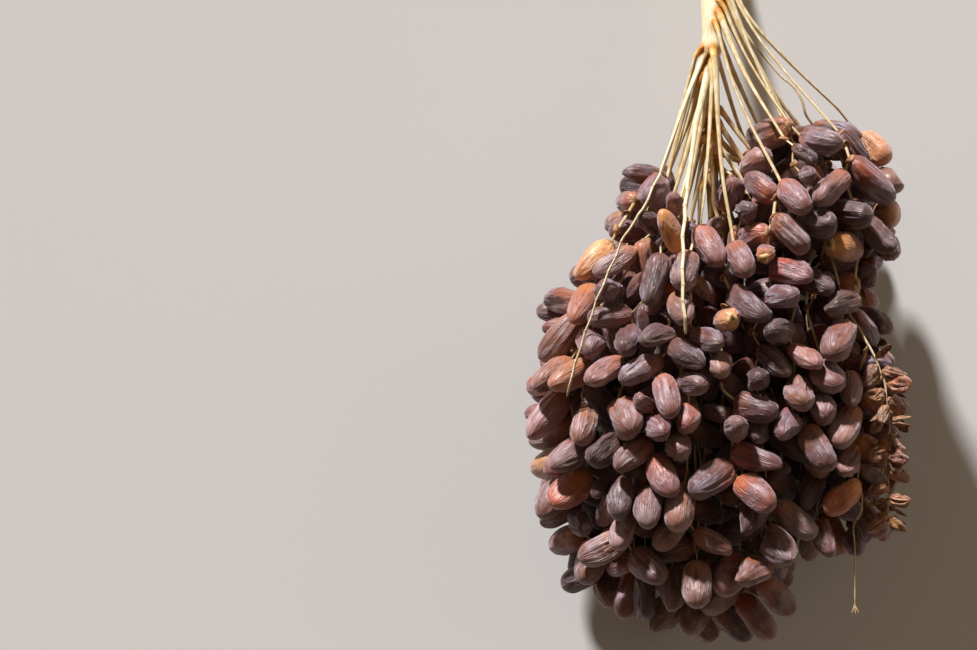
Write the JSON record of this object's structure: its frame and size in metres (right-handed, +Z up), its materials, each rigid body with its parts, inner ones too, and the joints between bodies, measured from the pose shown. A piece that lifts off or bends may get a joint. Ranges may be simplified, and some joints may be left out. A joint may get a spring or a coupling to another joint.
{
  "type": "date fruit bunch",
  "caption": "Fruit bunch of a date palm, cut and laid on its side: a pale arched stalk whose bare strands fan out into a dense, rounded mass of wrinkled brown dates.",
  "frame": {"origin": "middle of the bunch's bounding box, on the level surface that the bunch lies on", "axes": "+Y along the bunch from its tips to the cut end of its stalk, +X across it to the right, +Z up from the surface"},
  "size_m": [0.2976, 0.6416, 0.2058],
  "materials": {
    "stalk": "pale straw with an ochre tint at the knots, dry and faintly fibrous",
    "dates": "wrinkled semi-gloss skin, plum brown with a grey bloom"
  },
  "bodies": {
    "root": {"stalk": "stalk", "outer_strand_01": "dates", "outer_strand_02": "dates", "outer_strand_03": "dates", "outer_strand_04": "dates", "outer_strand_05": "dates", "outer_strand_06": "dates", "outer_strand_07": "dates", "outer_strand_08": "dates", "outer_strand_09": "dates", "outer_strand_10": "dates", "outer_strand_11": "dates", "outer_strand_12": "dates", "outer_strand_13": "dates", "outer_strand_14": "dates", "outer_strand_15": "dates", "outer_strand_16": "dates", "outer_strand_17": "dates", "outer_strand_18": "dates", "outer_strand_19": "dates", "outer_strand_20": "dates", "outer_strand_21": "dates", "outer_strand_22": "dates", "outer_strand_23": "dates", "middle_strand_01": "dates", "middle_strand_02": "dates", "middle_strand_03": "dates", "middle_strand_04": "dates", "middle_strand_05": "dates", "middle_strand_06": "dates", "middle_strand_07": "dates", "middle_strand_08": "dates", "middle_strand_09": "dates", "middle_strand_10": "dates", "middle_strand_11": "dates", "middle_strand_12": "dates", "core_strand_01": "dates", "core_strand_02": "dates", "core_strand_03": "dates", "core_strand_04": "dates", "core_strand_05": "dates", "shrivelled_strand": "dates", "bare_tipped_strand": "dates"}
  },
  "joints": []
}
